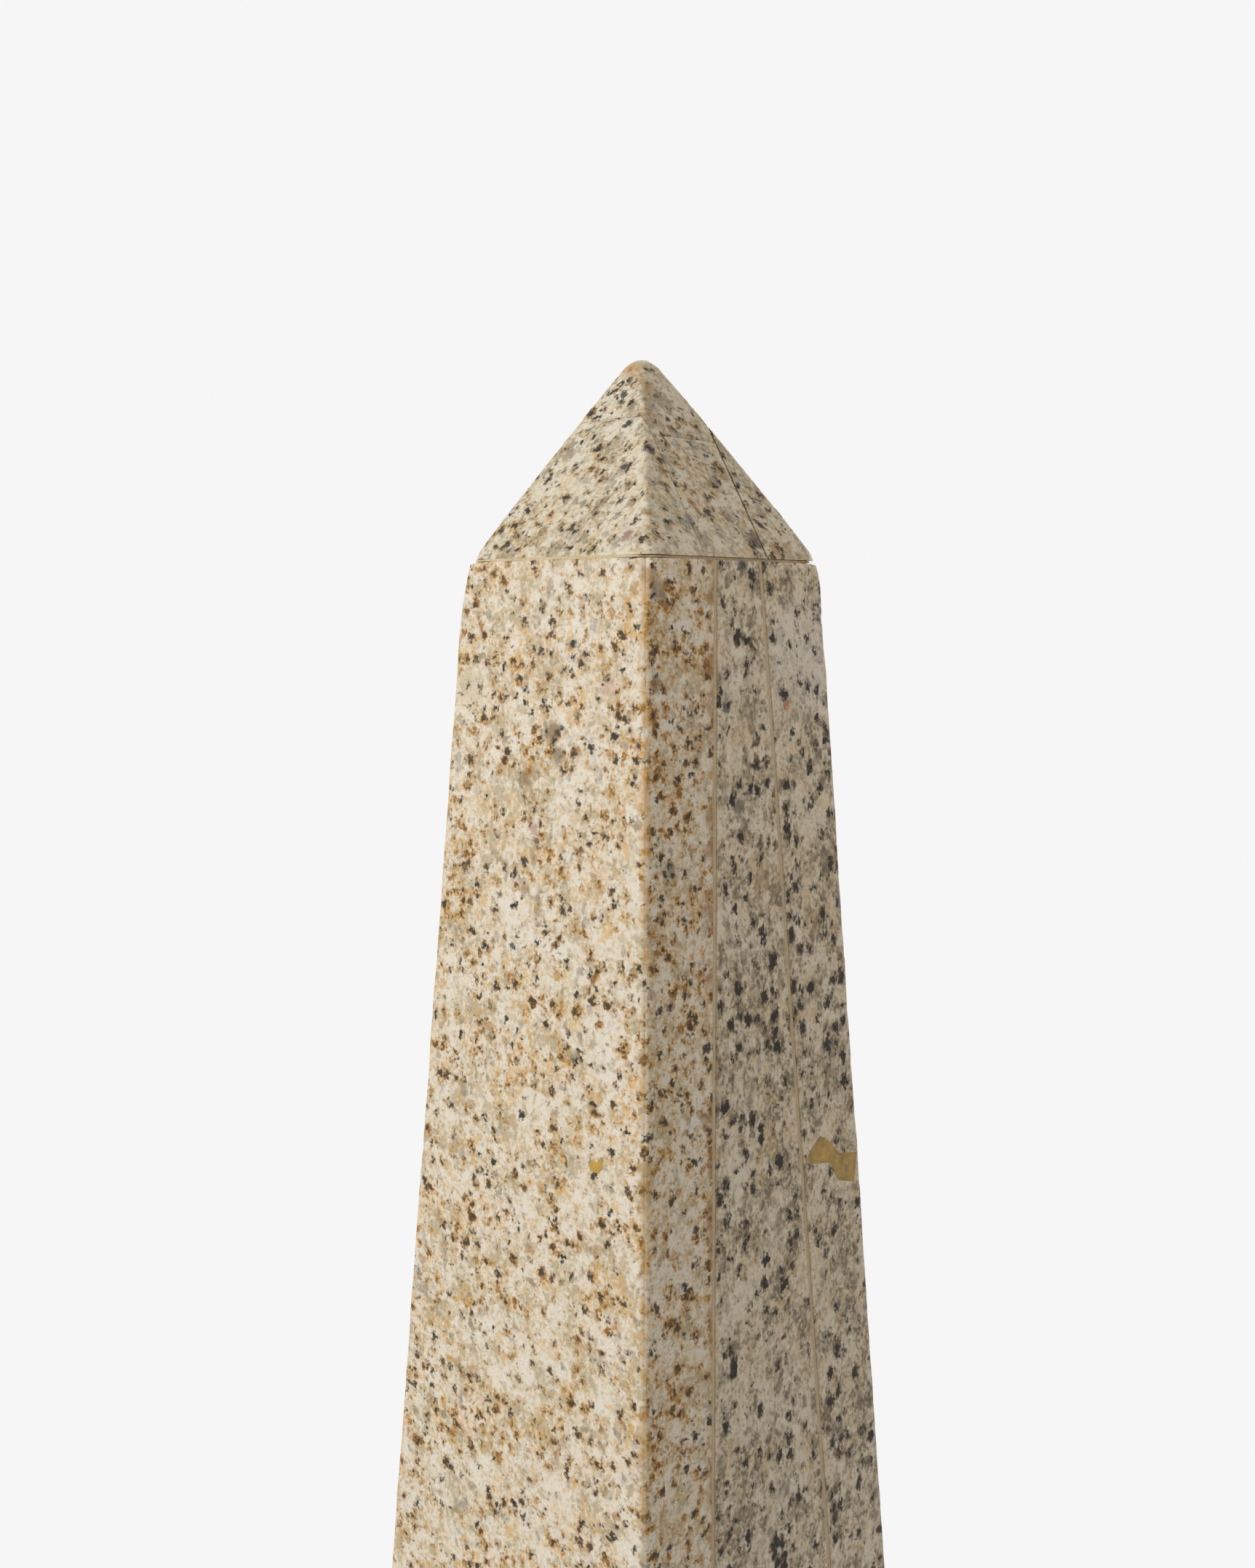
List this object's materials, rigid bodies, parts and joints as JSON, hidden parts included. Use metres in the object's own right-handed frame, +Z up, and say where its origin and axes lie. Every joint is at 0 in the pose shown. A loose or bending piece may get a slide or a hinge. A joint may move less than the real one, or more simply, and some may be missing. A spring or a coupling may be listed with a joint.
{
  "type": "granite slab obelisk",
  "caption": "Small free-standing obelisk: a tapering shaft of granite slabs and mortared side panels under a worn pyramid cap pieced from granite.",
  "frame": {"origin": "middle of the shaft's foot, on the ground", "axes": "+Z up along the shaft, the front slab faces -Y and the right-hand panel faces +X"},
  "size_m": [0.323, 0.323, 1.5582],
  "materials": {
    "warm_granite": "worn polish, cream with rust halos round dark specks",
    "grey_granite": "worn polish, grey-pink with coarse dark specks",
    "cap_granite": "worn polish, cream-grey with fine streaked specks",
    "mortar": "matt sand mortar",
    "resin": "satin ochre repair resin"
  },
  "bodies": {
    "root": {"front_slab": "warm_granite", "back_slab": "grey_granite", "right_panel": "grey_granite", "left_panel": "grey_granite", "front_right_mortar": "mortar", "back_right_mortar": "mortar", "front_left_mortar": "mortar", "back_left_mortar": "mortar", "cap_bed_mortar": "mortar", "cap_front_slab": "cap_granite", "cap_back_slab": "cap_granite", "cap_right_panel": "cap_granite", "cap_left_panel": "cap_granite", "cap_tip_block": "cap_granite", "front_resin_fill": "resin", "edge_resin_fill": "resin"}
  },
  "joints": []
}
